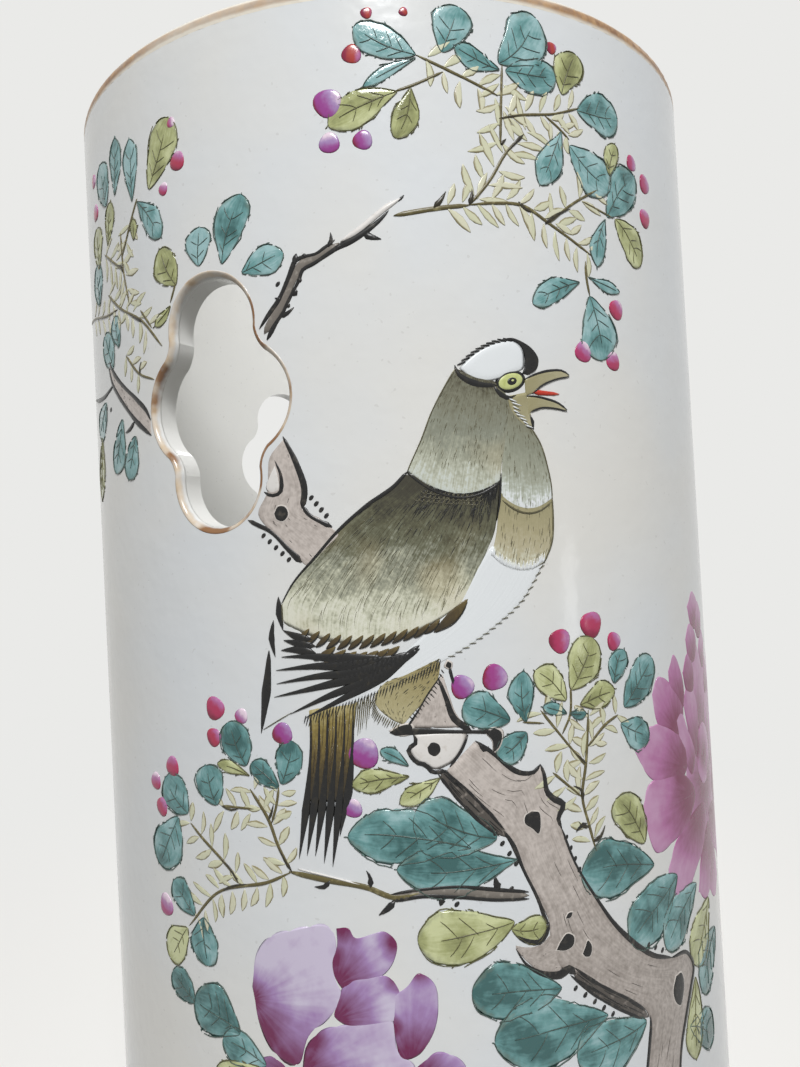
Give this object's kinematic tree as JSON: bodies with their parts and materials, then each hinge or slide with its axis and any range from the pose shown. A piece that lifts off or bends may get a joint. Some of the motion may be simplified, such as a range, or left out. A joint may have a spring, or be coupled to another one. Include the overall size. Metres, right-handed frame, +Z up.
{
  "type": "porcelain hat stand",
  "caption": "Tall open porcelain tube with lobed windows in two tiers, brown-dressed lip and edges, and a bird-and-flower enamel front, made to hold a hat on its lip.",
  "frame": {"origin": "centre of the foot's standing face", "axes": "+Z up along the tube's axis, -Y towards the painted front"},
  "size_m": [0.122, 0.122, 0.285],
  "materials": {
    "glazed_porcelain": "glossy clear glaze over white porcelain, faintly blue, with pinholes",
    "brown_dressing": "thin iron-brown wash, worn pale at the edges"
  },
  "bodies": {
    "root": {"lower_drum": "glazed_porcelain", "upper_drum": "glazed_porcelain", "base_slab": "glazed_porcelain", "slip_fillet": "glazed_porcelain", "lip_dressing": "brown_dressing", "upper_edge_front": "brown_dressing", "upper_edge_right": "brown_dressing", "upper_edge_back": "brown_dressing", "lower_edge_front": "brown_dressing", "lower_edge_back": "brown_dressing", "lower_edge_left": "brown_dressing"}
  },
  "joints": []
}
